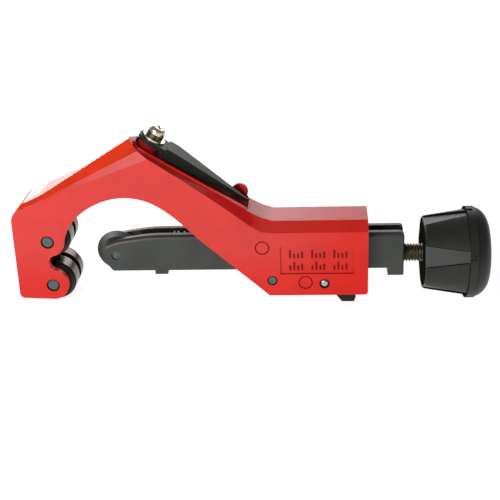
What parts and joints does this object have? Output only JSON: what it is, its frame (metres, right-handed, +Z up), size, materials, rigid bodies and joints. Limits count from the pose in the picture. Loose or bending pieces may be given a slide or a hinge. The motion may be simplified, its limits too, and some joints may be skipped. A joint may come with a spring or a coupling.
{
  "type": "pipe cutter",
  "caption": "Quick-release pipe cutter with a red C-frame, twin rollers, a sliding cutting wheel, a fluted feed knob and a folding reamer.",
  "frame": {"origin": "centre of a 16 mm tube held in the jaw, on the tool's middle plane", "axes": "+X from the head to the knob along the feed screw, +Y along the held tube towards the far side, +Z up towards the arch"},
  "size_m": [0.2526, 0.049, 0.1012],
  "materials": {
    "frame_paint": "semi-gloss",
    "roller_steel": "satin",
    "pin_steel": "satin",
    "slide_coat": "satin",
    "wheel_steel": "satin",
    "spring_steel": "satin",
    "screw_steel": "satin",
    "pad_brass": "satin",
    "knob_plastic": "satin",
    "lever_coat": "satin",
    "nut_steel": "satin",
    "blade_steel": "satin",
    "zinc": "gloss"
  },
  "bodies": {
    "frame_body": {"frame": "frame_paint", "upper_roller_pin": "pin_steel", "lower_roller_pin": "pin_steel", "lever_pivot_pin": "pin_steel", "lever_stop_pin": "pin_steel", "lever_spring": "spring_steel", "slide_spring": "spring_steel", "reamer_screw": "zinc", "reamer_flat_washer": "zinc", "reamer_lock_washer": "zinc"},
    "upper_roller_body": {"upper_roller": "roller_steel"},
    "lower_roller_body": {"lower_roller": "roller_steel"},
    "slide_body": {"slide": "slide_coat", "wheel_pin": "pin_steel", "wheel_pin_clip": "spring_steel", "thrust_pad": "pad_brass"},
    "wheel_body": {"cutter_wheel": "wheel_steel"},
    "knob_assembly": {"feed_screw": "screw_steel", "screw_collar": "spring_steel", "knob_body": "knob_plastic", "knob_cap": "knob_plastic", "knob_pin": "pin_steel"},
    "lever_body": {"release_lever": "lever_coat", "half_nut": "nut_steel"},
    "reamer_body": {"reamer_blade": "blade_steel"}
  },
  "joints": [
    {"name": "upper_roller_spin", "type": "hinge", "parent": "frame_body", "child": "upper_roller_body", "pos_m": [-0.0139, 0, 0.01275], "axis": [0, 1, 0], "continuous": true},
    {"name": "lower_roller_spin", "type": "hinge", "parent": "frame_body", "child": "lower_roller_body", "pos_m": [-0.0139, 0, -0.01275], "axis": [0, 1, 0], "continuous": true},
    {"name": "slide_travel", "type": "slide", "parent": "frame_body", "child": "slide_body", "axis": [1, 0, 0], "range_m": [-0.0148, 0.036], "deforming": ["slide_spring"]},
    {"name": "wheel_spin", "type": "hinge", "parent": "slide_body", "child": "wheel_body", "pos_m": [0.0204, 0, 0.0011], "axis": [0, 1, 0], "continuous": true},
    {"name": "knob_turn", "type": "hinge", "parent": "slide_body", "child": "knob_assembly", "pos_m": [0.1845, 0, -0.0024], "axis": [1, 0, 0], "range_deg": [-3555, 8645]},
    {"name": "lever_release", "type": "hinge", "parent": "frame_body", "child": "lever_body", "pos_m": [0.1324, 0, -0.0133], "axis": [0, -1, 0], "range_deg": [0, 12], "stiffness_Nm_per_rad": 0.4, "springref_deg": -11.46, "deforming": ["lever_spring"]},
    {"name": "reamer_swing", "type": "hinge", "parent": "frame_body", "child": "reamer_body", "pos_m": [0.042, 0, 0.06], "axis": [0.5358, 0, 0.8443], "range_deg": [-170, 0]}
  ],
  "couplings": [
    {"joint": "knob_turn", "follows": "slide_travel", "rad_per_m": 4188.8}
  ]
}
